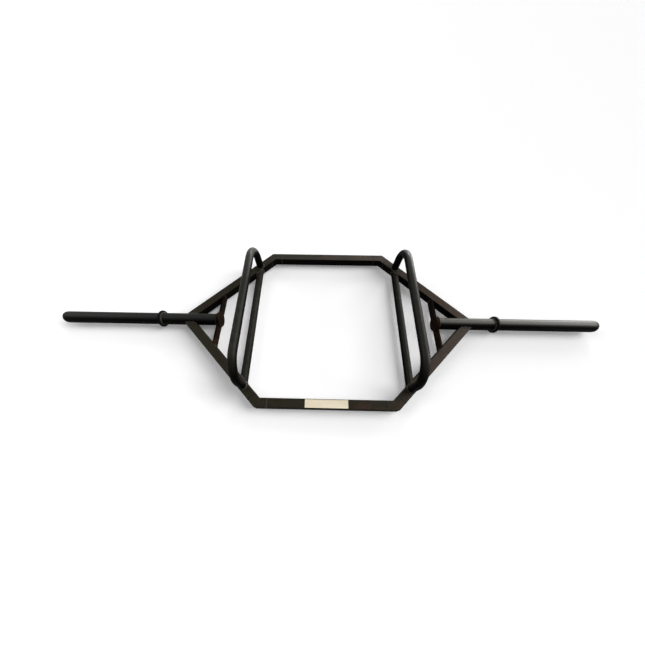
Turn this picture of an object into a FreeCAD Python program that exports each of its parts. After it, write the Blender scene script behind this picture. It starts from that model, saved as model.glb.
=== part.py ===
import FreeCAD, Part
import math
import os

# Hex trap bar, in millimetres, lying level on its two stop collars.
# X runs along the loading sleeves, Y from the front bar to the rear bar, Z up.
# The origin is on the floor, under the middle of the frame.
# Every piece is drawn on the right or front right and mirrored for the others.

Vector = FreeCAD.Vector

# Square box tube of the six-sided frame
tube_side = 35.0
tube_wall = 3.0
tube_edge_radius = 2.5
tube_bore_edge_radius = 1.0
frame_half_depth = 342.0  # middle to the centre line of the front and rear bars
corner_before_grip = 61.0  # where the centre lines of bar and rail cross, inside the grip's axis
vertex_half_width = 588.0  # middle to where the centre lines of two rails cross

# Elbows between the bars and the rails, measured from where the centre lines cross
elbow_bar_leg = 34.0  # to the elbow's end on the bar
elbow_rail_leg = 28.0  # to the elbow's end on the rail
elbow_outer_radius = 9.0  # seen from above
elbow_inner_radius = 6.0

# Loading sleeves, their stop collars and end caps
overall_length = 2212.0
sleeve_diameter = 48.0  # of the stretch that takes the weight plates
sleeve_wall = 5.0
sleeve_step = 0.3  # the stretch inside the collar is this much larger in radius
sleeve_rise = 6.5  # sleeve axis above the axis of the frame's tubes
collar_past_vertex = 104.0  # where two rails cross to the middle of the collar
collar_rim = 10.0  # collar's edge above the sleeve
collar_thickness = 8.0
collar_edge_share = 0.3  # rounded edge, as a share of the collar's thickness
rail_nose_share = 0.6  # rails stop this share of the sleeve's radius short of its axis plane

cap_thickness = 14.0
cap_step = 0.5  # the cap's head is this much smaller in radius than the sleeve
cap_edge_share = 0.7  # rounded edge, as a share of the head's thickness
cap_spigot_length = 24.0
cap_clearance = 0.2  # between the spigot and the sleeve's bore

# Cross plates, each with a round boss behind the sleeve's inner end
plate_before_vertex = 134.5  # middle of the plate to where two rails cross
plate_thickness = 8.0
plate_boss_rim = 6.0  # boss's edge outside the sleeve
plate_boss_proud = 5.0  # boss's face in front of the plate's inner face

# Round tube of the low grips and the raised handles
grip_diameter = 30.5
grip_wall = 3.0
grip_half_spacing = 313.0  # middle of the bar to the axis of the low grips
raised_grip_inset = 1.5  # raised grip's axis inside the low one's, towards the middle of the bar
raised_grip_rise = 158.0  # axis of the raised grip above the axis of the low one
raised_bend_radius = 90.0  # of the centre line

# Bare plate on the front bar
name_plate_length = 155.0
name_plate_thickness = 1.5
name_plate_corner_radius = 2.0

# Welds
weld_leg = 4.0
weld_toe = 0.8  # what is left of a round bead at its thin edge
weld_gap = 0.2  # between curved faces that are welded together
seam_weld_width = 4.0
seam_weld_rise = 0.6

# How far a cutting shape runs past what it cuts
overrun = 20.0

# Places closer than this are one place
same_place = 0.05

# Sizes that follow from the ones above
sleeve_radius = sleeve_diameter / 2
sleeve_root_radius = sleeve_radius + sleeve_step
sleeve_bore_radius = sleeve_radius - sleeve_wall
sleeve_end = overall_length / 2 - cap_thickness
corner_half_width = grip_half_spacing - corner_before_grip
raised_half_spacing = grip_half_spacing - raised_grip_inset
collar_radius = sleeve_radius + collar_rim
collar_half_spacing = vertex_half_width + collar_past_vertex
collar_inner_face = collar_half_spacing - collar_thickness / 2
collar_outer_face = collar_half_spacing + collar_thickness / 2
plate_half_spacing = vertex_half_width - plate_before_vertex
plate_inner_face = plate_half_spacing - plate_thickness / 2
plate_outer_face = plate_half_spacing + plate_thickness / 2
boss_face = plate_inner_face - plate_boss_proud
grip_radius = grip_diameter / 2

sleeve_height = collar_radius
tube_height = sleeve_height - sleeve_rise
frame_bottom = tube_height - tube_side / 2
frame_top = tube_height + tube_side / 2
raised_height = tube_height + raised_grip_rise

rail_heading = math.atan2(frame_half_depth, vertex_half_width - corner_half_width)
rail_way = Vector(math.cos(rail_heading), math.sin(rail_heading), 0)
front_corner = Vector(corner_half_width, -frame_half_depth, tube_height)
foot_depth = (vertex_half_width - raised_half_spacing) * math.tan(rail_heading)
weld_cope_radius = sleeve_root_radius + weld_gap


# Building blocks

def block(low, high):
    """Box between two opposite corners."""
    return Part.makeBox(high.x - low.x, high.y - low.y, high.z - low.z, low)


def sleeve_rod(radius, start, end):
    """Cylinder on the right sleeve's axis, between two places on X."""
    return Part.makeCylinder(radius, end - start, Vector(start, 0, sleeve_height), Vector(1, 0, 0))


def grip_rod(radius):
    """Cylinder on the right low grip's axis, longer than the frame is deep."""
    start = Vector(grip_half_spacing, -frame_half_depth, tube_height)
    return Part.makeCylinder(radius, 2 * frame_half_depth, start, Vector(0, 1, 0))


def square_wire(side, radius):
    """Square with rounded corners, in the YZ plane about the origin."""
    half = side / 2
    flat = half - radius
    bulge = flat + radius * math.sqrt(0.5)
    edges = []
    for quarter in range(4):
        turn = FreeCAD.Rotation(Vector(1, 0, 0), 90 * quarter)
        start = turn.multVec(Vector(0, half, -flat))
        end = turn.multVec(Vector(0, half, flat))
        middle = turn.multVec(Vector(0, bulge, bulge))
        following = turn.multVec(Vector(0, flat, half))
        edges.append(Part.makeLine(start, end))
        edges.append(Part.Arc(end, middle, following).toShape())
    return Part.Wire(edges)


def square_bar(side, radius, start, end):
    """Rounded square bar along X, between two places on X."""
    bar = Part.Face(square_wire(side, radius)).extrude(Vector(end - start, 0, 0))
    return bar.translate(Vector(start, 0, 0))


def square_ring(side, radius, length):
    """Length of rounded square bar along X from the origin, with the tube's bore in it."""
    bore_side = tube_side - 2 * tube_wall
    bore = square_bar(bore_side, tube_bore_edge_radius, -overrun, length + overrun)
    return square_bar(side, radius, 0, length).cut(bore)


def turned(shape, heading, place):
    """Shape swung round Z from X to a heading, then moved to its place."""
    shape.rotate(Vector(0, 0, 0), Vector(0, 0, 1), math.degrees(heading))
    return shape.translate(place)


def swept(section, path):
    """Solid of a closed section carried along a path."""
    return path.makePipeShell([section], True, False)


def between_rails(inset):
    """Space between the right rails' inner faces, each moved inwards by the inset."""
    tip = vertex_half_width - (tube_side / 2 + inset) / math.sin(rail_heading)
    near = grip_half_spacing - grip_diameter
    half = (tip - near) * math.tan(rail_heading)
    low = frame_bottom - tube_side
    corners = [Vector(near, -half, low), Vector(tip, 0, low), Vector(near, half, low)]
    outline = Part.makePolygon(corners + corners[:1])
    return Part.Face(outline).extrude(Vector(0, 0, 3 * tube_side))


def round_edges(shape, at_x, radius):
    """Shape with its circular edges at one place on X rounded."""
    rims = [edge for edge in shape.Edges
            if edge.BoundBox.XLength < same_place and abs(edge.CenterOfMass.x - at_x) < same_place]
    return shape.makeFillet(radius, rims)


def weld_ring(radius, place, way):
    """Fillet bead round a tube, thick at its place and thin along its way."""
    bead = Part.makeCone(radius + weld_leg, radius + weld_gap + weld_toe, weld_leg, place, way)
    return bead.cut(Part.makeCylinder(radius + weld_gap, weld_leg, place, way))


def to_left(shape):
    return shape.mirror(Vector(0, 0, 0), Vector(1, 0, 0))


def to_rear(shape):
    return shape.mirror(Vector(0, 0, 0), Vector(0, 1, 0))


def both_sides(shapes):
    return shapes + [to_left(shape) for shape in shapes]


def both_ends(shapes):
    return shapes + [to_rear(shape) for shape in shapes]


# Frame pieces

def make_bar():
    """Front bar, between the two front elbows and their seam welds."""
    half = corner_half_width - elbow_bar_leg - seam_weld_width
    bar = square_ring(tube_side, tube_edge_radius, 2 * half)
    return turned(bar, 0, Vector(-half, -frame_half_depth, tube_height))


def bent_bar(inset, edge_radius, spare):
    """Bar turned from the front bar's line to the right rail's line.

    Its faces are inset from the tube's, and its ends run past the elbow's by the spare length.
    """
    half = tube_side / 2 - inset
    half_turn = rail_heading / 2
    bar_end = front_corner - Vector(elbow_bar_leg + spare, 0, half)
    rail_end = front_corner + rail_way * (elbow_rail_leg + spare) - Vector(0, 0, half)
    bar_out = Vector(0, -half, 0)
    rail_out = Vector(math.sin(rail_heading), -math.cos(rail_heading), 0) * half
    half_way = Vector(math.sin(half_turn), -math.cos(half_turn), 0)

    def side(way, radius):
        """Edges along the outer or the inner side, from the bar's end to the rail's end."""
        corner = front_corner + half_way * (way * half / math.cos(half_turn)) - Vector(0, 0, half)
        tangent = radius * math.tan(half_turn)
        bend_start = corner - Vector(tangent, 0, 0)
        bend_middle = bend_start + Vector(0, radius, 0) + half_way * radius
        bend_end = corner + rail_way * tangent
        return [Part.makeLine(bar_end + bar_out * way, bend_start),
                Part.Arc(bend_start, bend_middle, bend_end).toShape(),
                Part.makeLine(bend_end, rail_end + rail_out * way)]

    ends = [Part.makeLine(bar_end + bar_out, bar_end - bar_out),
            Part.makeLine(rail_end + rail_out, rail_end - rail_out)]
    sides = side(1, elbow_outer_radius - inset) + side(-1, elbow_inner_radius + inset)
    outline = Part.Wire(Part.__sortEdges__(sides + ends))
    bar = Part.Face(outline).extrude(Vector(0, 0, 2 * half))

    def along(edge):
        """True for a level edge that is not on either end."""
        place = edge.CenterOfMass
        at_end = abs(place.x - bar_end.x) < same_place or abs((place - rail_end).dot(rail_way)) < same_place
        return edge.BoundBox.ZLength < same_place and not at_end

    return bar.makeFillet(edge_radius, [edge for edge in bar.Edges if along(edge)])


def make_elbow():
    """Front right elbow, from the front bar's seam to the rail's seam."""
    bore = bent_bar(tube_wall, tube_bore_edge_radius, overrun)
    return bent_bar(0, tube_edge_radius, 0).cut(bore)


def make_rail():
    """Front right rail, coped to the sleeve that it carries."""
    offset = elbow_rail_leg + seam_weld_width
    corner_to_vertex = math.hypot(vertex_half_width - corner_half_width, frame_half_depth)
    rail = square_ring(tube_side, tube_edge_radius, corner_to_vertex - offset + tube_side)
    rail = turned(rail, rail_heading, front_corner + rail_way * offset)
    cope = sleeve_rod(weld_cope_radius, plate_outer_face, collar_inner_face)
    nose = -rail_nose_share * sleeve_radius
    past_nose = block(Vector(plate_outer_face, nose, frame_bottom - overrun),
                      Vector(collar_inner_face, frame_half_depth, frame_top + overrun))
    return rail.cut(cope).cut(past_nose)


def make_seam_welds():
    """Two butt welds of the front right elbow, each a little proud of the tube."""
    side = tube_side + 2 * seam_weld_rise
    radius = tube_edge_radius + seam_weld_rise
    bar_end = front_corner - Vector(elbow_bar_leg + seam_weld_width, 0, 0)
    elbow_end = front_corner + rail_way * elbow_rail_leg
    return [turned(square_ring(side, radius, seam_weld_width), 0, bar_end),
            turned(square_ring(side, radius, seam_weld_width), rail_heading, elbow_end)]


def make_name_plate():
    """Bare plate on top of the front bar."""
    half_length = name_plate_length / 2
    half_width = tube_side / 2 - tube_edge_radius
    plate = block(Vector(-half_length, -frame_half_depth - half_width, frame_top),
                  Vector(half_length, half_width - frame_half_depth, frame_top + name_plate_thickness))
    upright = [edge for edge in plate.Edges if edge.BoundBox.ZLength > name_plate_thickness / 2]
    return plate.makeFillet(name_plate_corner_radius, upright)


# Sleeve pieces

def make_sleeve():
    """Right sleeve, a pipe from the cross plate to the end cap."""
    root = sleeve_rod(sleeve_root_radius, plate_outer_face, collar_outer_face)
    loaded = sleeve_rod(sleeve_radius, collar_outer_face, sleeve_end)
    bore = sleeve_rod(sleeve_bore_radius, plate_outer_face - overrun, sleeve_end + overrun)
    return root.fuse(loaded).cut(bore)


def make_collar():
    """Right stop collar, which the weight plates rest against."""
    ring = sleeve_rod(collar_radius, collar_inner_face, collar_outer_face)
    edge_radius = collar_edge_share * collar_thickness
    for face in (collar_inner_face, collar_outer_face):
        ring = round_edges(ring, face, edge_radius)
    bore = sleeve_rod(weld_cope_radius, collar_inner_face - overrun, collar_outer_face + overrun)
    return ring.cut(bore)


def make_cap():
    """Right end cap, with a rounded head and a spigot in the sleeve's bore."""
    head = sleeve_rod(sleeve_radius - cap_step, sleeve_end, overall_length / 2)
    head = round_edges(head, overall_length / 2, cap_edge_share * cap_thickness)
    spigot = sleeve_rod(sleeve_bore_radius - cap_clearance, sleeve_end - cap_spigot_length, sleeve_end)
    return head.fuse(spigot)


def make_plate():
    """Right cross plate, as high as the tubes, with a boss behind the sleeve."""
    strip = block(Vector(plate_inner_face, -frame_half_depth, frame_bottom),
                  Vector(plate_outer_face, frame_half_depth, frame_top))
    boss = sleeve_rod(sleeve_root_radius + plate_boss_rim, boss_face, plate_outer_face)
    return strip.common(between_rails(0)).fuse(boss).removeSplitter()


def make_rail_weld():
    """Bead along the top of the front right rail, where it meets the sleeve."""
    rise = frame_top - sleeve_height
    depth = math.sqrt(weld_cope_radius ** 2 - rise ** 2)
    toe_angle = math.asin(rise / weld_cope_radius) + weld_leg / weld_cope_radius
    toe = Vector(0, -weld_cope_radius * math.cos(toe_angle),
                 sleeve_height + weld_cope_radius * math.sin(toe_angle))
    outer = Vector(0, -depth - weld_leg, frame_top)
    inner = Vector(0, weld_leg - depth, frame_top)
    half_length = (tube_side / 2 - tube_edge_radius) / math.sin(rail_heading)
    middle = vertex_half_width - depth / math.tan(rail_heading)
    section = Part.Face(Part.makePolygon([outer, inner, toe, outer]))
    bead = section.extrude(Vector(2 * half_length, 0, 0))
    bead.translate(Vector(middle - half_length, 0, 0))
    return bead.cut(sleeve_rod(weld_cope_radius, plate_outer_face, collar_inner_face))


def make_plate_welds():
    """Upright beads on both faces of the right cross plate, at its front end."""
    tip = vertex_half_width - tube_side / 2 / math.sin(rail_heading)
    low = frame_bottom + tube_edge_radius
    beads = []
    for face, way in ((plate_inner_face, -1), (plate_outer_face, 1)):
        root = Vector(face, (face - tip) * math.tan(rail_heading), low)
        on_plate = root + Vector(0, weld_leg, 0)
        on_rail = root + rail_way * (way * weld_leg)
        section = Part.Face(Part.makePolygon([root, on_plate, on_rail, root]))
        beads.append(section.extrude(Vector(0, 0, tube_side - 2 * tube_edge_radius)))
    return beads


# Grips and handles

def make_low_grip():
    """Right low grip, a straight tube between the two right rails."""
    tube = grip_rod(grip_radius).cut(grip_rod(grip_radius - grip_wall))
    return tube.common(between_rails(0))


def make_raised_handle():
    """Right raised handle, a tube bent twice, standing on the two right rails."""
    leg_top = raised_height - raised_bend_radius
    bend_depth = foot_depth - raised_bend_radius
    bulge = raised_bend_radius * math.sqrt(0.5)

    def spot(depth, height):
        return Vector(raised_half_spacing, depth, height)

    def bend(side):
        return Part.Arc(spot(side * foot_depth, leg_top),
                        spot(side * (bend_depth + bulge), leg_top + bulge),
                        spot(side * bend_depth, raised_height)).toShape()

    path = Part.Wire([
        Part.makeLine(spot(-foot_depth, frame_top), spot(-foot_depth, leg_top)),
        bend(-1),
        Part.makeLine(spot(-bend_depth, raised_height), spot(bend_depth, raised_height)),
        bend(1),
        Part.makeLine(spot(foot_depth, leg_top), spot(foot_depth, frame_top)),
    ])
    foot = spot(-foot_depth, frame_top)
    skin = Part.Wire(Part.makeCircle(grip_radius, foot))
    bore = Part.Wire(Part.makeCircle(grip_radius - grip_wall, foot))
    return swept(skin, path).cut(swept(bore, path))


def make_grip_welds():
    """Bead round either end of the right low grip, no higher than the tube of the rails."""
    sheath = grip_rod(grip_radius + weld_leg).cut(grip_rod(grip_radius + weld_gap))
    ends = between_rails(0).cut(between_rails(weld_leg))
    tube_band = block(Vector(0, -frame_half_depth, frame_bottom + tube_edge_radius),
                      Vector(vertex_half_width, frame_half_depth, frame_top - tube_edge_radius))
    return sheath.common(ends).common(tube_band).Solids


def make_foot_weld():
    """Bead round the right raised handle's front foot, no wider than the rail."""
    foot = Vector(raised_half_spacing, -foot_depth, frame_top)
    reach = grip_radius + weld_leg
    strip = block(Vector(-reach, -tube_side / 2, 0), Vector(reach, tube_side / 2, weld_leg))
    return weld_ring(grip_radius, foot, Vector(0, 0, 1)).common(turned(strip, rail_heading, foot))


# Nodes

def save(name, shapes):
    """Write one node, a solid or a group of separate solids."""
    solids = [solid for shape in shapes for solid in shape.Solids]
    node = solids[0] if len(solids) == 1 else Part.makeCompound(solids)
    node.exportStep(os.path.join("parts", name + ".step"))
    print(name, "solids", len(solids), "volume", round(node.Volume), "valid", node.isValid())


os.makedirs("parts", exist_ok=True)

bar = make_bar()
save("front_bar", [bar])
save("rear_bar", [to_rear(bar)])
save("name_plate", [make_name_plate()])

for piece, shape in (("elbow", make_elbow()), ("rail", make_rail())):
    save("front_right_" + piece, [shape])
    save("front_left_" + piece, [to_left(shape)])
    save("rear_right_" + piece, [to_rear(shape)])
    save("rear_left_" + piece, [to_left(to_rear(shape))])

side_pieces = (
    ("sleeve", make_sleeve()),
    ("stop_collar", make_collar()),
    ("end_cap", make_cap()),
    ("cross_plate", make_plate()),
    ("low_grip", make_low_grip()),
    ("raised_handle", make_raised_handle()),
)
for piece, shape in side_pieces:
    save("right_" + piece, [shape])
    save("left_" + piece, [to_left(shape)])

sleeve_at_plate = Vector(plate_outer_face, 0, sleeve_height)
sleeve_at_collar = Vector(collar_inner_face, 0, sleeve_height)
plate_ring = weld_ring(sleeve_root_radius, sleeve_at_plate, Vector(1, 0, 0))
collar_ring = weld_ring(sleeve_root_radius, sleeve_at_collar, Vector(-1, 0, 0))

save("seam_welds", both_sides(both_ends(make_seam_welds())))
save("rail_welds", both_sides(both_ends([make_rail_weld()])))
save("plate_welds", both_sides(both_ends(make_plate_welds())))
save("sleeve_welds", both_sides([plate_ring]))
save("collar_welds", both_sides([collar_ring]))
save("grip_welds", both_sides(make_grip_welds()))
save("foot_welds", both_sides(both_ends([make_foot_weld()])))
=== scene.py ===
# %% [markdown]
# # Dressing a hex trap bar
# A trap bar is a six-sided frame of square tube that a lifter stands in. Weight plates slide onto
# the two sleeves, and the hands take either the low grips or the raised handles.
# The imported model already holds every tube, pipe and plate at its real size, so this lesson keeps
# those meshes and gives them their finishes. Only the weld beads and the cream plate are modelled
# anew, because their small forms are easier to make as meshes than as solids.

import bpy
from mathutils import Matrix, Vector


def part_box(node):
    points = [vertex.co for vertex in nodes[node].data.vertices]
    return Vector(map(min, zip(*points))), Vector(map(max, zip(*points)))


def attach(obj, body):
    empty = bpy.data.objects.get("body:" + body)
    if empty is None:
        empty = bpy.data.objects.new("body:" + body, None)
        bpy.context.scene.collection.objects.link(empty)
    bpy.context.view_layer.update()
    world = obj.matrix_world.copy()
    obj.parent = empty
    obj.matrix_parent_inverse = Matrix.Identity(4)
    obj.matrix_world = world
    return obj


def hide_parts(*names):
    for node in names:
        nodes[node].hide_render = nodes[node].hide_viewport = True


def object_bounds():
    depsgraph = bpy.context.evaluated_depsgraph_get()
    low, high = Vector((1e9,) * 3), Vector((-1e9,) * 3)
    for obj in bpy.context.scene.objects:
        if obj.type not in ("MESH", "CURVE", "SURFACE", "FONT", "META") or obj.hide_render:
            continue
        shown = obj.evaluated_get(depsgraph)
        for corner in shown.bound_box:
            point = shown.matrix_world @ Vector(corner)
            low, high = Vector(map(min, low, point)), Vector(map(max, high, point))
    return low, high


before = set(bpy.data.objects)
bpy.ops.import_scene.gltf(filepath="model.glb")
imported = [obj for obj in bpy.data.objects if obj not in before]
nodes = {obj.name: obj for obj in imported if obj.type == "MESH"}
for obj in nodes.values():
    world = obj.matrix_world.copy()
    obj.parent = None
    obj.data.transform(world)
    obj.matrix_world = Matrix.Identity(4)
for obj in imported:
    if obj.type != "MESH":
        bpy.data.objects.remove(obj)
cad_low, cad_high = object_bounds()
print("nodes", len(nodes), "box in metres", [round(side, 4) for side in cad_high - cad_low])

# %% [markdown]
# ## Measuring the frame
# Beads have to sit exactly where two pieces meet. Those places could be typed in again, but then
# they would stay behind when the model changes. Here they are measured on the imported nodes: boxes
# give the level and square pieces, and the largest upright face of a rail gives its heading.
# A cross plate has a boss that stands proud in its middle, so the plate's inner face is read near
# its rear end. X runs along the sleeves, Y from the front bar to the rear bar, and Z up.

# %% Imports and the places of the main pieces
import math

import bmesh
import bpy
from mathutils import Matrix, Vector

mm = 0.001
along_x = Vector((1, 0, 0))
along_y = Vector((0, 1, 0))
up = Vector((0, 0, 1))


def span(node, way):
    """How far a node reaches along a direction, as its lowest and highest measure."""
    reaches = [way.dot(vertex.co) for vertex in nodes[node].data.vertices]
    return min(reaches), max(reaches)


frame_bottom, frame_top = span("rear_bar", up)
bar_near, bar_far = span("rear_bar", along_y)
bar_reach = span("rear_bar", along_x)[1]
tube_side = frame_top - frame_bottom
tube_height = (frame_top + frame_bottom) / 2
bar_line = (bar_near + bar_far) / 2

sleeve_bottom, sleeve_top = span("right_sleeve", up)
sleeve_radius = (sleeve_top - sleeve_bottom) / 2
sleeve_height = (sleeve_top + sleeve_bottom) / 2

grip_near, grip_far = span("right_low_grip", along_x)
grip_radius = (grip_far - grip_near) / 2
grip_line = (grip_near + grip_far) / 2
foot_depth = span("right_raised_handle", along_y)[1] - grip_radius
raised_line = sum(span("right_raised_handle", along_x)) / 2

plate_outer = span("right_cross_plate", along_x)[1]
plate_rear = span("right_cross_plate", along_y)[1]
plate_points = [vertex.co for vertex in nodes["right_cross_plate"].data.vertices]
plate_inner = min(point.x for point in plate_points if point.y > plate_rear / 2)
collar_inner = span("right_stop_collar", along_x)[0]
print("tube", round(tube_side / mm, 2), "sleeve radius", round(sleeve_radius / mm, 2),
      "grip radius", round(grip_radius / mm, 2), "foot depth", round(foot_depth / mm, 2))

# %% Heading of the rails
upright_limit = 0.5


def upright_area(face):
    """Area of a face that stands upright, and nothing for any other face."""
    return face.area if abs(face.normal.z) < upright_limit else 0


side_face = max(nodes["rear_right_rail"].data.polygons, key=upright_area)
rail_in = Vector((-abs(side_face.normal.x), -abs(side_face.normal.y), 0)).normalized()
rail_way = Vector((-rail_in.y, rail_in.x, 0))
rail_face = span("rear_right_rail", rail_in)[1]
rail_line = rail_face - tube_side / 2
print("rear right rail runs at", round(math.degrees(math.atan2(rail_way.y, rail_way.x)), 2), "degrees")

# %% [markdown]
# ## Sums in a shader
# A finish is a small program of nodes. Placing Math nodes by hand hides the sum that they make, so
# one class wraps an output socket and lets Python's own operators add those nodes. Any other node
# comes from the method `node`, which takes the node's type, its settings and its sockets.

# %% Wire, a socket that can be summed
class Wire:
    """One output socket that can be used in a Python sum."""

    def __init__(self, finish, socket):
        self.finish = finish
        self.socket = socket

    def __add__(self, other):
        return self.finish.math("ADD", self, other)

    def __sub__(self, other):
        return self.finish.math("SUBTRACT", self, other)

    def __rsub__(self, other):
        return self.finish.math("SUBTRACT", other, self)

    def __mul__(self, other):
        return self.finish.math("MULTIPLY", self, other)

    def __abs__(self):
        return self.finish.math("ABSOLUTE", self, 0)

    __radd__ = __add__
    __rmul__ = __mul__


print("made the class", Wire.__name__)

# %% Finish, a tree of nodes
middle_reach = 0.3


class Finish:
    """The node tree of one material, or of the world."""

    def __init__(self, owner):
        owner.use_nodes = True
        self.owner = owner
        self.tree = owner.node_tree
        self.tree.nodes.clear()

    def node(self, kind, settings, sockets, output=0):
        """Add one node: first its settings, then the values or links of its sockets."""
        made = self.tree.nodes.new("ShaderNode" + kind)
        for name, value in settings.items():
            setattr(made, name, value)
        for name, value in sockets.items():
            if isinstance(value, Wire):
                self.tree.links.new(value.socket, made.inputs[name])
            else:
                made.inputs[name].default_value = value
        return None if output is None else Wire(self, made.outputs[output])

    def math(self, operation, first, second):
        return self.node("Math", {"operation": operation}, {0: first, 1: second})

    def place(self):
        """Place on the object, in metres, the same for every piece."""
        return self.node("TexCoord", {}, {}, "Object")

    def part(self, vector, axis):
        """One of a vector's three numbers."""
        return self.node("SeparateXYZ", {}, {"Vector": vector}, axis)

    def stretched(self, vector, scales):
        """Vector with each of its numbers times a scale of its own."""
        return self.node("VectorMath", {"operation": "MULTIPLY"}, {0: vector, 1: scales})

    def noise(self, vector, scale, detail=3.0):
        """Soft cloud, with about that many patches in a metre."""
        return self.node("TexNoise", {}, {"Vector": vector, "Scale": scale, "Detail": detail})

    def ease(self, value, start, end):
        """0 up to the start, 1 from the end, and smooth between them."""
        settings = {"interpolation_type": "SMOOTHSTEP"}
        return self.node("MapRange", settings, {"Value": value, "From Min": start, "From Max": end})

    def blend(self, share, first, second):
        """Colour between two others."""
        return self.node("Mix", {"data_type": "RGBA"}, {0: share, 6: first, 7: second}, 2)

    def facing(self, way):
        """How far a surface looks one way: 1 for straight at it, 0 for sideways."""
        normal = self.node("NewGeometry", {}, {}, "Normal")
        return self.node("VectorMath", {"operation": "DOT_PRODUCT"}, {0: normal, 1: way}, "Value")

    def seen(self):
        """1 for rays that show a thing, straight or in a reflection, and 0 for rays that only light it."""
        camera, glossy, transmission = (
            self.node("LightPath", {}, {}, f"Is {kind} Ray") for kind in ("Camera", "Glossy", "Transmission"))
        return camera + glossy + transmission

    def rightward(self, place):
        """0 over the left half of the bar, 1 over the right half, and smooth between them."""
        return self.ease(self.part(place, "X"), -middle_reach, middle_reach)

    def coat(self, colour, roughness, height, depth, **constants):
        """Finish the material: a painted surface with a little relief, its depth in metres."""
        normal = self.node("Bump", {}, {"Height": height, "Distance": depth})
        sockets = {"Base Color": colour, "Roughness": roughness, "Normal": normal}
        for name, value in constants.items():
            sockets[name.replace("_", " ")] = value
        self.close("OutputMaterial", self.node("BsdfPrincipled", {}, sockets))
        return self.owner

    def close(self, kind, shader):
        """Link the last shader to the tree's output."""
        self.node(kind, {}, {"Surface": shader}, None)


finishes = {}


def new_finish(name):
    """A new material with an empty tree."""
    return Finish(bpy.data.materials.new(name))


print("made the class", Finish.__name__)

# %% [markdown]
# ## Powder coat on the frame
# The tubes wear a satin black powder coat. Up close it has the fine orange peel of baked powder.
# From a step away it drifts between a brown and an olive black, and handling has rubbed the tubes'
# long edges a little lighter. A photograph of paint could be wrapped round the tubes, but noise in
# the object's own metres needs no unwrapping and runs on from one tube to the next.
# The rounded edges need no mask of their own: faces of a level square tube point straight up or
# straight sideways, so wherever the normal's Z is in between, that is a rounded edge.
# Upper faces are found by their normal too. They have a thin clear polish over the paint, with a
# little more of it on the right half and on the rear bar. Faces that turn away from that way, the
# sides and undersides, take a near-black painted shade in place of the paint's colour.

# %% Make the powder coat
# The first colour is a near-black painted shade for faces turned away from the light.
coat_painted_shade = (0.0034, 0.0027, 0.0020, 1)
coat_brown = (0.0280, 0.0170, 0.0095, 1)
coat_olive = (0.0150, 0.0130, 0.0070, 1)
coat_rubbed = (0.040, 0.036, 0.030, 1)
coat_scales = {"drift": 14, "cloud": 60, "grain": 1300}
coat_ranges = {"upper": (0.35, 0.9), "edge": (0.15, 0.9), "rubbed": (0.35, 0.7), "brown": (0.48, 0.70)}
coat_rough = {"all": 0.55, "cloud": 0.16, "edge": 0.10}
coat_polish = {"all": 0.15, "right": 0.03, "rear": 0.20, "cloud": 0.2}
coat_relief = 0.05 * mm
rubbed_share = 0.45
side_drift = 0.40
matte = 0.012
# The way of the lit faces: it sets both the painted shade and the polish.
frame_shade_polish_way = Vector((0, 0.36, 0.93))
polish_rough = 0.34
noise_middle = 0.5


def powder_coat():
    finish = new_finish("powder_coat")
    place = finish.place()
    drift = finish.noise(place, coat_scales["drift"]) + side_drift * finish.part(place, "X")
    cloud = finish.noise(place, coat_scales["cloud"])
    grain = finish.noise(place, coat_scales["grain"])
    tilt = finish.facing(up)
    slope = tilt * tilt
    upper = finish.ease(finish.facing(frame_shade_polish_way), *coat_ranges["upper"])
    edge = finish.ease(4 * slope * (1 - slope), *coat_ranges["edge"])
    edge = edge * finish.ease(cloud, *coat_ranges["rubbed"]) * upper
    colour = finish.blend(finish.ease(drift, *coat_ranges["brown"]), coat_olive, coat_brown)
    # Painted shade: faces turned away from the up and rearward way are blended to near-black.
    colour = finish.blend(upper, coat_painted_shade, colour)
    colour = finish.blend(rubbed_share * edge, colour, coat_rubbed)
    swing = cloud - noise_middle
    roughness = coat_rough["all"] + coat_rough["cloud"] * swing - coat_rough["edge"] * edge
    rear = finish.ease(finish.part(place, "Y"), foot_depth, bar_line)
    polish = coat_polish["all"] + coat_polish["right"] * finish.rightward(place)
    polish = upper * (polish + coat_polish["rear"] * rear + coat_polish["cloud"] * swing)
    return finish.coat(colour, roughness, grain, coat_relief, Specular_IOR_Level=matte,
                       Coat_Weight=polish, Coat_Roughness=polish_rough)


finishes["frame_coat"] = powder_coat()
print("made", list(finishes)[-1])

# %% [markdown]
# ## Grips and handles
# The grips have the same powder coat, polished by hands. The polish is a sum of smooth masks: the
# middle stretch that is held, the raised handles, the right half, and most of all the handles' rear
# bends. Faces turned away from the light take a near-black painted shade. On the low grips and the
# bends the polish and the lit colour lean over to the right side of the tube, a painted light from
# the right. Faint streaks run along Y, as the grips do.

# %% Make the grip coat
# The first colour is a near-black painted shade for faces turned away from the light.
grip_painted_shade = (0.0016, 0.0014, 0.0012, 1)
grip_black = (0.0115, 0.0106, 0.0080, 1)
grip_grey = (0.0175, 0.0166, 0.0136, 1)
grip_scales = {"cloud": 45, "streak": (260, 9, 260), "grain": 1500}
grip_ranges = {"upper": (0.15, 0.9), "grey": (0.55, 0.95)}
grip_rough = {"all": 0.52, "held": 0.08, "streak": 0.14}
grip_polish = {"all": 0.03, "raised": 0.09, "right": 0.08, "held": 0.05, "bend": 0.62, "right_bend": 0.18}
grip_relief = 0.04 * mm
streak_relief = 0.4
streak_grey = 0.5
hand_start = 0.06
hand_end = 0.20
low_lean = 0.25
bend_lean = 0.5


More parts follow.
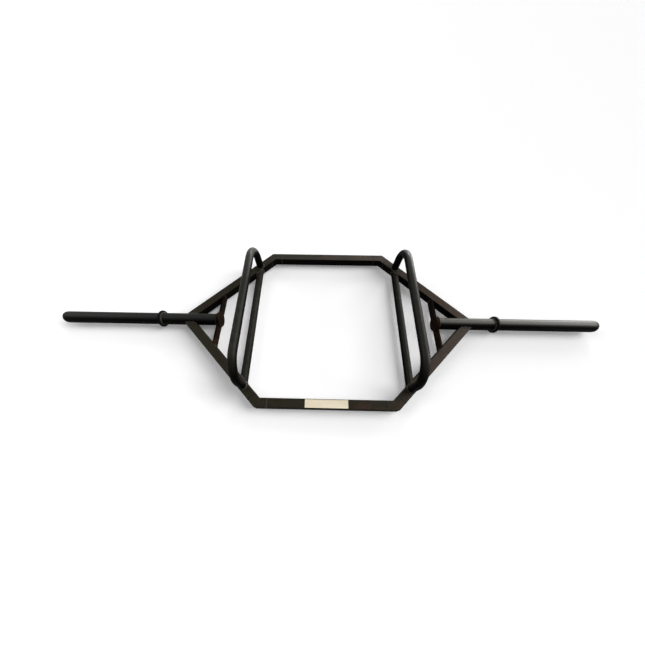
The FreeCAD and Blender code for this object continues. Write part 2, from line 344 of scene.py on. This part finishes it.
def grip_coat():
    finish = new_finish("grip_coat")
    place = finish.place()
    depth = finish.part(place, "Y")
    height = finish.part(place, "Z")
    held = 1 - finish.ease(abs(depth), hand_start, hand_end)
    raised = finish.ease(height, frame_top, cad_high.z)
    bend = raised * finish.ease(depth, hand_start, foot_depth)
    cloud = finish.noise(place, grip_scales["cloud"])
    streak = finish.noise(finish.stretched(place, grip_scales["streak"]), 1)
    grain = finish.noise(place, grip_scales["grain"])
    # Painted light: the lean makes the tube's right side lighter and its left side darker, in colour as well
    # as polish.
    lean = (low_lean * (1 - raised) + bend_lean * bend) * finish.facing(along_x)
    upper = finish.ease(finish.facing(frame_shade_polish_way) + lean, *grip_ranges["upper"])
    grey = finish.ease(cloud + streak_grey * streak, *grip_ranges["grey"])
    colour = finish.blend(upper, grip_painted_shade, finish.blend(grey, grip_black, grip_grey))
    roughness = grip_rough["all"] - grip_rough["held"] * held
    roughness = roughness + grip_rough["streak"] * (streak - noise_middle)
    tint = finish.rightward(place)
    bend_polish = (grip_polish["bend"] + grip_polish["right_bend"] * tint) * bend
    polish = grip_polish["all"] + grip_polish["raised"] * raised + grip_polish["right"] * tint
    polish = upper * (polish + grip_polish["held"] * held + bend_polish)
    return finish.coat(colour, roughness, grain + streak_relief * streak, grip_relief,
                       Specular_IOR_Level=matte, Coat_Weight=polish, Coat_Roughness=polish_rough)


finishes["grip_coat"] = grip_coat()
print("made", list(finishes)[-1])

# %% [markdown]
# ## Sleeves and collars
# Plates slide along the sleeves and turn on them, so the coat there carries two sets of marks: long
# streaks along X and fine rings round the pipe. Both are the same noise, stretched two ways. The
# polish lies on top and a little to the rear, and the rest of the pipe takes a near-black painted
# shade. On the left sleeve the lit band is widened a little. The right sleeve has more polish, in a
# narrower band, and is browner than the left one. The collars share this finish, but stay a deeper
# black: they are told from the pipe by their distance from the sleeve's axis.

# %% Make the sleeve coat
# The first colour is a near-black painted shade for the pipe's sides and underside.
sleeve_painted_shade = (0.0016, 0.0014, 0.0010, 1)
sleeve_black = (0.0125, 0.0122, 0.0118, 1)
sleeve_brown = (0.0300, 0.0260, 0.0150, 1)
sleeve_worn = (0.0260, 0.0245, 0.0215, 1)
collar_black = (0.0045, 0.0040, 0.0040, 1)
sleeve_scales = {"cloud": 30, "streak": (7, 240, 240), "ring": (420, 6, 6), "grain": 1500}
sleeve_ranges = {"upper": (0.25, 0.92), "streak": (0.52, 0.75), "ring": (0.60, 0.80), "worn": (0.3, 0.7)}
sleeve_rough = {"all": 0.50, "cloud": 0.12, "marks": 0.06}
sleeve_polish = {"all": 0.15, "right": 0.44, "marks": 0.06}
sleeve_relief = 0.035 * mm
marks_relief = 0.5
worn_share = 0.5
collar_dull = 0.6
collar_start = 1.0 * mm
collar_full = 3.0 * mm
axis_offset = Vector((0, 0, -sleeve_height))
# The way of the lit band: it sets both the painted shade and the polish.
sleeve_shade_polish_way = Vector((0, 0.52, 0.85))
left_lift = 0.12


def sleeve_coat():
    finish = new_finish("sleeve_coat")
    place = finish.place()
    cloud = finish.noise(place, sleeve_scales["cloud"])
    streak = finish.noise(finish.stretched(place, sleeve_scales["streak"]), 1)
    ring = finish.noise(finish.stretched(place, sleeve_scales["ring"]), 1)
    grain = finish.noise(place, sleeve_scales["grain"])
    marks = finish.ease(streak, *sleeve_ranges["streak"]) + finish.ease(ring, *sleeve_ranges["ring"])
    tint = finish.rightward(place)
    # Painted shade: the pipe turned away from this way is blended to near-black; left_lift widens the lit
    # band on the left sleeve.
    upper = finish.facing(sleeve_shade_polish_way) + left_lift * (1 - tint)
    upper = finish.ease(upper, *sleeve_ranges["upper"])
    from_axis = finish.node("VectorMath", {"operation": "ADD"}, {0: place, 1: axis_offset})
    from_axis = finish.stretched(from_axis, along_y + up)
    radius = finish.node("VectorMath", {"operation": "LENGTH"}, {0: from_axis}, "Value")
    collar = finish.ease(radius, sleeve_radius + collar_start, sleeve_radius + collar_full)
    worn = worn_share * marks * finish.ease(cloud, *sleeve_ranges["worn"])
    colour = finish.blend(tint, sleeve_black, sleeve_brown)
    colour = finish.blend(worn, colour, sleeve_worn)
    colour = finish.blend(upper, sleeve_painted_shade, colour)
    colour = finish.blend(collar, colour, collar_black)
    roughness = sleeve_rough["all"] + sleeve_rough["cloud"] * (cloud - noise_middle)
    roughness = roughness - sleeve_rough["marks"] * marks
    polish = sleeve_polish["all"] + sleeve_polish["right"] * tint + sleeve_polish["marks"] * marks
    polish = upper * polish * (1 - collar_dull * collar)
    return finish.coat(colour, roughness, grain + marks_relief * marks, sleeve_relief,
                       Specular_IOR_Level=matte, Coat_Weight=polish, Coat_Roughness=polish_rough)


finishes["sleeve_coat"] = sleeve_coat()
print("made", list(finishes)[-1])

# %% [markdown]
# ## Cross plates
# The two cross plates behind the sleeves are cut from flat steel and only thinly coated: a rusty
# brown shows through the black, on their front half. A coarse cloud decides where, and a finer one
# breaks its edge up.

# %% Make the plate coat
plate_black = (0.0030, 0.0014, 0.0008, 1)
plate_rust = (0.0215, 0.0100, 0.0050, 1)
plate_scales = {"cloud": 28, "speck": 260}
rust_range = (0.50, 0.85)
rust_end = 0.01
rust_fade = 0.06
speck_share = 0.35
plate_rough = {"all": 0.50, "rust": 0.25}
plate_relief = 0.06 * mm


def plate_coat():
    finish = new_finish("plate_coat")
    place = finish.place()
    cloud = finish.noise(place, plate_scales["cloud"])
    speck = finish.noise(place, plate_scales["speck"])
    front = 1 - finish.ease(finish.part(place, "Y"), rust_end, rust_fade)
    rust = front * finish.ease(cloud + speck_share * speck, *rust_range)
    colour = finish.blend(rust, plate_black, plate_rust)
    roughness = plate_rough["all"] + plate_rough["rust"] * rust
    return finish.coat(colour, roughness, speck, plate_relief, Specular_IOR_Level=matte)


finishes["plate_coat"] = plate_coat()
print("made", list(finishes)[-1])

# %% [markdown]
# ## End caps
# The rounded ends are plastic caps pushed into the pipe. Moulded plastic is even in colour, with a
# fine spark-eroded grain and a few dull scuffs on its face.

# %% Make the cap plastic
cap_black = (0.0120, 0.0120, 0.0122, 1)
cap_scuff = (0.0240, 0.0240, 0.0240, 1)
cap_scales = {"cloud": 120, "grain": 2200}
scuff_range = (0.55, 0.75)
scuff_share = 0.6
cap_rough = {"all": 0.46, "scuff": 0.16}
cap_relief = 0.04 * mm
cap_gloss = 4 * matte


def cap_plastic():
    finish = new_finish("cap_plastic")
    place = finish.place()
    cloud = finish.noise(place, cap_scales["cloud"])
    grain = finish.noise(place, cap_scales["grain"])
    scuff = finish.ease(cloud, *scuff_range)
    colour = finish.blend(scuff_share * scuff, cap_black, cap_scuff)
    roughness = cap_rough["all"] + cap_rough["scuff"] * scuff
    return finish.coat(colour, roughness, grain, cap_relief, Specular_IOR_Level=cap_gloss)


finishes["cap_plastic"] = cap_plastic()
print("made", list(finishes)[-1])

# %% [markdown]
# ## Weld beads, the finish
# Paint runs thin on the crests of a bead and pools in its valleys, and the crests' light colour is
# also a painted highlight. The beads below are dense meshes, so Blender's pointiness, which tells
# crests from valleys, can guide the colour. On the seams that lie flush with the tubes the painted
# highlight is kept only at the bars' left ends, so they get a finish of their own from the same function.

# %% Make the weld coats
weld_valley = (0.0060, 0.0050, 0.0040, 1)
# The crest colour is lighter thin paint and also a painted highlight.
weld_crest_highlight = (0.1100, 0.0950, 0.0780, 1)
weld_scales = {"cloud": 150, "grain": 1200}
weld_ranges = {"crest": (0.48, 0.56), "thin": (0.25, 0.75)}
weld_rough = {"all": 0.46, "crest": 0.10}
weld_relief = 0.04 * mm
weld_gloss = 8 * matte
seam_highlight = 0.7
seam_start = bar_reach + 5 * mm
seam_end = bar_reach + 15 * mm


def weld_coat(name, flush):
    """Coat of the beads, with a painted highlight on the crests. Flush ones keep it only near the bars' left
    ends.
    """
    finish = new_finish(name)
    place = finish.place()
    crest = finish.ease(finish.node("NewGeometry", {}, {}, "Pointiness"), *weld_ranges["crest"])
    if flush:
        # Painted highlight: on flush seams the light crests are kept only at the bars' left ends.
        past_bar = finish.ease(abs(finish.part(place, "X")), seam_start, seam_end)
        crest = seam_highlight * crest * (1 - past_bar) * (1 - finish.rightward(place))
    thin = finish.ease(finish.noise(place, weld_scales["cloud"]), *weld_ranges["thin"])
    grain = finish.noise(place, weld_scales["grain"])
    # Painted highlight: the crests are lightened, for thin paint and for the light they catch.
    colour = finish.blend(crest * thin, weld_valley, weld_crest_highlight)
    roughness = weld_rough["all"] - weld_rough["crest"] * crest
    return finish.coat(colour, roughness, grain, weld_relief, Specular_IOR_Level=weld_gloss)


finishes["weld_coat"] = weld_coat("weld_coat", False)
finishes["seam_coat"] = weld_coat("seam_coat", True)
print("made", list(finishes)[-2:])

# %% [markdown]
# ## Cream enamel
# The small plate on the front bar is cream enamel with a slightly yellowed drift and tiny specks. It
# stays bare.

# %% Make the cream enamel
cream_light = (0.775, 0.700, 0.535, 1)
cream_warm = (0.730, 0.645, 0.474, 1)
cream_speck = (0.420, 0.350, 0.240, 1)
cream_scales = {"drift": 24, "speck": 900}
cream_ranges = {"warm": (0.35, 0.7), "speck": (0.70, 0.82)}
cream_rough = {"all": 0.32, "drift": 0.12}
cream_relief = 0.02 * mm
enamel_gloss = 0.3


def cream_enamel():
    finish = new_finish("cream_enamel")
    place = finish.place()
    drift = finish.noise(place, cream_scales["drift"])
    speck = finish.noise(place, cream_scales["speck"])
    colour = finish.blend(finish.ease(drift, *cream_ranges["warm"]), cream_light, cream_warm)
    colour = finish.blend(finish.ease(speck, *cream_ranges["speck"]), colour, cream_speck)
    roughness = cream_rough["all"] + cream_rough["drift"] * drift
    return finish.coat(colour, roughness, speck, cream_relief, Specular_IOR_Level=enamel_gloss)


finishes["name_plate"] = cream_enamel()
print("made", list(finishes)[-1])

# %% [markdown]
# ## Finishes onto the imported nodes
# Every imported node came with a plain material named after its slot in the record. That name says
# which of the finishes above takes its place. The meshes themselves stay as they are.

# %% Swap the plain materials
for node in nodes.values():
    slot = node.data.materials[0].name
    node.data.materials[0] = finishes[slot]
print("dressed", len(nodes), "nodes with", len(finishes), "finishes")

# %% [markdown]
# ## Weld beads, the form
# A fillet bead fills the corner between two surfaces. It could be a texture, but close up it has to
# catch the light as a row of overlapping scales. So it is lofted: at many places along the joint
# stands a small arc from one surface to the other, and the arcs swell and shrink once per ripple.
# Each joint is a function of its way from 0 to 1, and gives the root of the bead and its two legs.

# %% One rippled bead
weld_leg = 3.8 * mm
ripple_pitch = 2.6 * mm
ripple_share = 0.16
ripple_bow = 0.35
ripple_steps = 5
least_ripples = 4
# Size, length and start of each slow wave in the bead.
wander_waves = ((0.05, 7.3 * mm, 0), (0.04, 3.1 * mm, 1))
arc_steps = 6
root_share = 0.15
end_length = 3 * mm
end_share = 0.25


def swelling(run, bow):
    """Bead size along its run: one round scale per ripple, bowed in the middle of the arc."""
    scale = abs(math.sin(math.pi * (run / ripple_pitch + ripple_bow * bow)))
    wander = sum(size * math.sin(run / length + start) for size, length, start in wander_waves)
    return 1 - ripple_share + ripple_share * scale + wander


def lay_bead(mesh, joint, length, sweep, closed):
    """Loft one bead into a bmesh, along a joint of that length."""
    steps = ripple_steps * max(least_ripples, round(length / ripple_pitch))
    rows = []
    for step in range(steps if closed else steps + 1):
        share = step / steps
        root, first_leg, second_leg = joint(share)
        run = share * ripple_pitch * steps / ripple_steps
        taper = 1.0
        if not closed:
            taper = math.sqrt(max(end_share, min(1.0, min(share, 1 - share) * length / end_length)))
        row = []
        for place in range(arc_steps + 1):
            angle = sweep * place / arc_steps
            reach = first_leg * math.cos(angle) + second_leg * math.sin(angle)
            bow = math.sin(math.pi * place / arc_steps)
            row.append(mesh.verts.new(root + reach * (taper * swelling(run, bow))))
        row.append(mesh.verts.new(root - (first_leg + second_leg) * root_share))
        rows.append(row)
    width = len(rows[0])
    for index in range(len(rows) if closed else len(rows) - 1):
        row = rows[index]
        following = rows[(index + 1) % len(rows)]
        for place in range(width):
            beside = (place + 1) % width
            mesh.faces.new((row[place], row[beside], following[beside], following[place]))
    if not closed:
        mesh.faces.new(rows[0])
        mesh.faces.new(rows[-1])


def legs(first_normal, second_normal, size):
    """Directions along two surfaces, each away from the other surface."""
    apart = first_normal.dot(second_normal)
    first_leg = (second_normal - first_normal * apart).normalized() * size
    second_leg = (first_normal - second_normal * apart).normalized() * size
    return first_leg, second_leg


print("a bead ripples every", ripple_pitch / mm, "mm")

# %% Beads into pieces
quarter = math.pi / 2
ends = {"rear": 1, "front": -1}
sides = {"right": 1, "left": -1}


def mirrored(joint, side, end):
    """The same joint on another side or end of the frame."""
    flip = Matrix.Diagonal((side, end, 1))

    def flipped(share):
        return [flip @ vector for vector in joint(share)]

    return flipped


def four_corners(joint, length, sweep, closed):
    """The same bead on both sides and at both ends."""
    return [(mirrored(joint, side, end), length, sweep, closed)
            for side in sides.values() for end in ends.values()]


def two_sides(joint, length, sweep, closed):
    """The same bead on both sides."""
    return [(mirrored(joint, side, 1), length, sweep, closed) for side in sides.values()]


def add_piece(name, mesh, finish, node):
    """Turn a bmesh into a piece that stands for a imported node."""
    bmesh.ops.recalc_face_normals(mesh, faces=mesh.faces)
    data = bpy.data.meshes.new(name)
    mesh.to_mesh(data)
    mesh.free()
    data.materials.append(finishes[finish])
    piece = bpy.data.objects.new(name, data)
    bpy.context.scene.collection.objects.link(piece)
    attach(piece, "root")
    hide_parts(node)
    print(name, "vertices", len(data.vertices), "faces", len(data.polygons))
    return data


def weld_piece(name, node, beads, finish="weld_coat"):
    """One smooth mesh of many beads."""
    mesh = bmesh.new()
    for joint, length, sweep, closed in beads:
        lay_bead(mesh, joint, length, sweep, closed)
    add_piece(name, mesh, finish, node).shade_smooth()


print("beads are laid on the sides", list(sides), "and at the ends", list(ends))

# %% [markdown]
# ## Beads round the sleeves
# Each sleeve is welded to its cross plate at the inner end, and the stop collar is welded on from
# its inner side, where no weight plate reaches. Both joints are circles round the pipe.

# %% Sleeve and collar beads
def sleeve_joint(place, way):
    """Circle round the right sleeve, with the bead lying along one way on X."""

    def joint(share):
        turn = 2 * math.pi * share
        out = along_y * math.cos(turn) + up * math.sin(turn)
        root = along_x * place + up * sleeve_height + out * sleeve_radius
        return root, along_x * way * weld_leg, out * weld_leg

    return joint


sleeve_round = 2 * math.pi * sleeve_radius
root_beads = two_sides(sleeve_joint(plate_outer, 1), sleeve_round, quarter, True)
weld_piece("sleeve_beads", "sleeve_welds", root_beads)
collar_beads = two_sides(sleeve_joint(collar_inner, -1), sleeve_round, quarter, True)
weld_piece("collar_beads", "collar_welds", collar_beads)

# %% [markdown]
# ## Beads of the raised handles and the low grips
# A handle stands on its rail, nearly as wide as the rail itself, so the bead has to be narrow at the
# two sides where little of the rail is left. A low grip meets the rail's side at a slant: there the
# joint is an ellipse, and the directions along both surfaces come from their normals.

# %% Handle feet
def foot_joint(share):
    """Round the rear right foot, on top of the rail."""
    turn = 2 * math.pi * share
    out = along_x * math.cos(turn) + along_y * math.sin(turn)
    root = along_x * raised_line + along_y * foot_depth + up * frame_top + out * grip_radius
    across = abs(out.dot(rail_in))
    room = tube_side / 2 / max(across, grip_radius / tube_side) - grip_radius
    return root, out * min(weld_leg, room), up * weld_leg


grip_round = 2 * math.pi * grip_radius
weld_piece("handle_foot_beads", "foot_welds", four_corners(foot_joint, grip_round, quarter, True))

# %% Low grip ends
edge_room = 1.2 * mm


def grip_joint(share):
    """Round the right low grip, where it meets the rear right rail."""
    turn = 2 * math.pi * share
    out = along_x * math.cos(turn) + up * math.sin(turn)
    root = along_x * grip_line + up * tube_height + out * grip_radius
    root += along_y * ((rail_face - rail_in.dot(root)) / rail_in.y)
    on_rail, on_grip = legs(rail_in, out, weld_leg)
    height = abs(on_rail.z)
    room = tube_side / 2 - abs(root.z - tube_height) - edge_room / 2
    if height > room:
        on_rail = on_rail * max(room / height, edge_room / weld_leg)
    return root, on_rail, on_grip


weld_piece("low_grip_beads", "grip_welds", four_corners(grip_joint, grip_round, quarter, True))

# %% [markdown]
# ## Beads of the rails and the cross plates
# Where a rail's top meets the round sleeve, the bead is straight. The cross plates are welded to
# the rails by upright beads on both of their faces.

# %% Rail tops and plate ends
rail_bead_share = 0.86
plate_bead_share = 0.84
rail_rise = frame_top - sleeve_height
rail_depth = math.sqrt(sleeve_radius ** 2 - rail_rise ** 2)
rail_width = rail_bead_share * tube_side / abs(rail_in.x)
rail_middle = (rail_line - rail_in.y * rail_depth) / rail_in.x
plate_height = plate_bead_share * tube_side


def rail_joint(share):
    """Across the rear right rail's top, against the sleeve."""
    root = Vector((rail_middle + (share - 0.5) * rail_width, rail_depth, frame_top))
    out = Vector((0, rail_depth, rail_rise)).normalized()
    first_leg, second_leg = legs(up, out, weld_leg)
    return root, first_leg, second_leg


def plate_joint(face, way):
    """Upright, where the right cross plate's rear end meets the rail."""
    depth = (rail_face - rail_in.x * face) / rail_in.y

    def joint(share):
        root = Vector((face, depth, tube_height + (share - 0.5) * plate_height))
        first_leg, second_leg = legs(rail_in, along_x * way, weld_leg)
        return root, first_leg, second_leg

    return four_corners(joint, plate_height, quarter, False)


weld_piece("rail_beads", "rail_welds", four_corners(rail_joint, rail_width, quarter, False))
plate_beads = plate_joint(plate_inner, -1) + plate_joint(plate_outer, 1)
weld_piece("plate_beads", "plate_welds", plate_beads, "seam_coat")

# %% [markdown]
# ## Butt welds of the elbows
# Where an elbow meets a bar or a rail, the two tubes are flush, so the bead is a low band round the
# square tube. Its path is a rounded square, walked at an even pace along flats and corners.

# %% Seam beads
seam_width = 4 * mm
seam_rise = 0.6 * mm
edge_radius = 2.5 * mm
seam_flat = tube_side - 2 * edge_radius
seam_bend = edge_radius * quarter


def square_walk(share):
    """Place and outward direction on the tube's rounded square, for a share of its length."""
    side, run = divmod(share * 4 * (seam_flat + seam_bend), seam_flat + seam_bend)
    if run < seam_flat:
        spot = (tube_side / 2, run - seam_flat / 2)
        out = (1.0, 0.0)
    else:
        turn = (run - seam_flat) / edge_radius
        out = (math.cos(turn), math.sin(turn))
        spot = (seam_flat / 2 + edge_radius * out[0], seam_flat / 2 + edge_radius * out[1])
    spin = Matrix.Rotation(side * quarter, 2)
    return spin @ Vector(spot), spin @ Vector(out)


def seam_joint(middle, way):
    """Round a tube that runs along its way, at the middle of the seam."""
    across = way.cross(up)

    def joint(share):
        spot, out = square_walk(share)
        root = middle + across * spot.x + up * spot.y
        rise_leg = (across * out.x + up * out.y) * seam_rise
        return root, way * (seam_width / 2), rise_leg

    return joint


seam_round = 4 * (seam_flat + seam_bend)
bar_end = (bar_reach + span("rear_right_elbow", along_x)[0]) / 2
rail_end = (span("rear_right_rail", rail_way)[0] + span("rear_right_elbow", rail_way)[1]) / 2
bar_seam = Vector((bar_end, bar_line, tube_height))
rail_seam = rail_in * rail_line + rail_way * rail_end + up * tube_height
print("bar seam", [round(v, 4) for v in bar_seam], "rail seam", [round(v, 4) for v in rail_seam])
seam_beads = []
for middle, way in ((bar_seam, along_x), (rail_seam, rail_way)):
    seam_beads += four_corners(seam_joint(middle, way), seam_round, math.pi, True)
weld_piece("seam_beads", "seam_welds", seam_beads, "seam_coat")

# %% [markdown]
# ## The cream plate
# The plate on the front bar is a pressed tag: a thin slab with rounded corners, a raised rim and a
# field that lies a little lower. It is built from rounded rectangles, each one inside the last, and
# joined ring by ring. A bevel on a box would round the corners too, but it couldn't press the field.

# %% Press the plate
tag_low, tag_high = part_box("name_plate")
tag_middle = (tag_low + tag_high) / 2
tag_half = (tag_high - tag_low) / 2
tag_corner = 2 * mm
corner_growth = 0.6
corner_steps = 6
# Inset from the outline, and share of the height.
tag_rings = (
    (0.0, 0.0),
    (0.0, 0.80),
    (0.3 * mm, 1.0),
    (1.7 * mm, 1.0),
    (2.2 * mm, 0.72),
    (3.4 * mm, 0.66),
)


def tag_ring(mesh, inset, height_share):
    """One rounded rectangle of the plate, that far inside its outline."""
    radius = tag_corner + corner_growth * inset
    height = tag_low.z + height_share * (tag_high.z - tag_low.z)
    ring = []
    for corner, (side, end) in enumerate(((1, 1), (-1, 1), (-1, -1), (1, -1))):
        for step in range(corner_steps + 1):
            turn = quarter * (corner + step / corner_steps)
            x = tag_middle.x + side * (tag_half.x - inset - radius) + radius * math.cos(turn)
            y = tag_middle.y + end * (tag_half.y - inset - radius) + radius * math.sin(turn)
            ring.append(mesh.verts.new((x, y, height)))
    return ring


def press_tag():
    """The whole tag as a bmesh, ring by ring."""
    mesh = bmesh.new()
    rings = [tag_ring(mesh, inset, height_share) for inset, height_share in tag_rings]
    for outer, inner in zip(rings, rings[1:]):
        for place in range(len(outer)):
            beside = (place + 1) % len(outer)
            mesh.faces.new((outer[place], outer[beside], inner[beside], inner[place]))
    mesh.faces.new(rings[0])
    mesh.faces.new(rings[-1])
    return mesh


add_piece("cream_tag", press_tag(), "name_plate", "name_plate")

# %% [markdown]
# ## Floor and light
# The bar lies on a white studio floor. A floor that is really white would throw much light back up
# under the tubes, so it is white only for rays that show it and grey for rays that light the bar.
# The sky is made the same way: white where it is seen, and a dim grey as a lamp.
# Five soft suns do the rest. The key sun stands high on the right and a low sun under it: together
# they smear the shadows to the left, as one very tall lamp would. A rim sun draws the light edges
# of the right sleeve and handle, one stands low behind the bar, and one on the left opens the
# shadows. Each is given by the share of full white that it brings to the floor. A faint glow of
# the floor makes up what is left.

# %% Floor
floor_half = 40.0
floor_white = (0.96, 0.96, 0.96, 1)
floor_shade = (0.95, 0.95, 0.951, 1)
floor_grey = (0.30, 0.30, 0.30, 1)
floor_cloud = 3
floor_rough = 0.3
paper_white = (1, 1, 1, 1)
paper_glow = (0.15, 0.15, 0.15, 1)
no_glow = (0, 0, 0, 1)


def floor_paint():
    finish = new_finish("floor_paint")
    seen = finish.seen()
    cloud = finish.noise(finish.place(), floor_cloud)
    colour = finish.blend(cloud, floor_shade, floor_white)
    colour = finish.blend(seen, floor_grey, colour)
    matt = finish.node("BsdfDiffuse", {}, {"Color": colour, "Roughness": floor_rough})
    glow_colour = finish.blend(seen, no_glow, paper_glow)
    glow = finish.node("Emission", {}, {"Color": glow_colour, "Strength": 1.0})
    finish.close("OutputMaterial", finish.node("AddShader", {}, {0: matt, 1: glow}))
    return finish.owner


corners = [(-floor_half, -floor_half, 0), (floor_half, -floor_half, 0),
           (floor_half, floor_half, 0), (-floor_half, floor_half, 0)]
floor_mesh = bpy.data.meshes.new("floor")
floor_mesh.from_pydata(corners, [], [(0, 1, 2, 3)])
floor_mesh.materials.append(floor_paint())
floor = bpy.data.objects.new("floor", floor_mesh)
bpy.context.scene.collection.objects.link(floor)
print("floor", 2 * floor_half, "m wide")

# %% Suns
# Direction to the sun, share of full white on the floor, and width in degrees.
suns = {
    "key_sun": (Vector((0.69, 0.20, 0.69)), 0.36, 40),
    "low_sun": (Vector((0.95, 0.05, 0.31)), 0.18, 30),
    "rim_sun": (Vector((0.72, 0.67, 0.22)), 0.08, 25),
    "back_sun": (Vector((0.25, 0.90, 0.36)), 0.12, 25),
    "left_sun": (Vector((-0.80, 0.15, 0.58)), 0.11, 32),
}


def add_sun(name, way, share, width):
    """A soft sun that gives a level white floor that share of full white."""
    lamp = bpy.data.lights.new(name, "SUN")
    way = way.normalized()
    lamp.energy = share * math.pi / way.z
    lamp.angle = math.radians(width)
    lamp_object = bpy.data.objects.new(name, lamp)
    lamp_object.rotation_mode = "QUATERNION"
    lamp_object.rotation_quaternion = way.to_track_quat("Z", "Y")
    bpy.context.scene.collection.objects.link(lamp_object)
    print(name, "strength", round(lamp.energy, 2))


for name, (way, share, width) in suns.items():
    add_sun(name, way, share, width)

# %% Sky
sky_dark = (0.22, 0.22, 0.22, 1)
sky_front = (0.12, 0.12, 0.12, 1)
sky_lift = 0.5
sky_range = (-0.5, 0.4)

world = bpy.data.worlds.new("studio")
bpy.context.scene.world = world
sky = Finish(world)
direction = sky.node("TexCoord", {}, {}, "Generated")
behind = sky.part(direction, "Y") + sky_lift * sky.part(direction, "Z")
sky_colour = sky.blend(sky.ease(behind, *sky_range), sky_front, sky_dark)
sky_colour = sky.blend(sky.seen(), sky_colour, paper_white)
sky.close("OutputWorld", sky.node("Background", {}, {"Color": sky_colour, "Strength": 1.0}))
print("sky light from", sky_front[0], "to", sky_dark[0], "and white where it is seen")

# %% [markdown]
# ## Camera
# The photograph was taken with a wide lens from about 0.9 m up, looking steeply down on the bar. The
# camera's place and tilt were found by lining up points of the frame.

# %% Camera at the photograph's angle
image_side = 645
focal_pixels = 225.0
centre_x_pixel = 316.764
centre_y_pixel = 349.35
camera_place = Vector((-0.02907, -0.47224, 0.86173))
look_down = math.radians(67.357)
look_aside = math.radians(-1.774)
roll = math.radians(0.489)
sensor_width = 36.0

forward = Vector((math.sin(look_aside) * math.cos(look_down),
                  math.cos(look_aside) * math.cos(look_down), -math.sin(look_down)))
level_right = Vector((math.cos(look_aside), -math.sin(look_aside), 0))
level_down = forward.cross(level_right)
right = level_right * math.cos(roll) + level_down * math.sin(roll)
down = level_down * math.cos(roll) - level_right * math.sin(roll)
turned = Matrix((right, -down, -forward)).transposed().to_4x4()

lens = bpy.data.cameras.new("camera")
lens.sensor_width = sensor_width
lens.lens = sensor_width * focal_pixels / image_side
lens.shift_x = 0.5 - centre_x_pixel / image_side
lens.shift_y = centre_y_pixel / image_side - 0.5
camera = bpy.data.objects.new("camera", lens)
camera.matrix_world = Matrix.Translation(camera_place) @ turned
bpy.context.scene.collection.objects.link(camera)
bpy.context.scene.camera = camera
bpy.context.scene.view_settings.view_transform = "Standard"
print("lens", round(lens.lens, 2), "mm, shift", round(lens.shift_x, 4), round(lens.shift_y, 4))
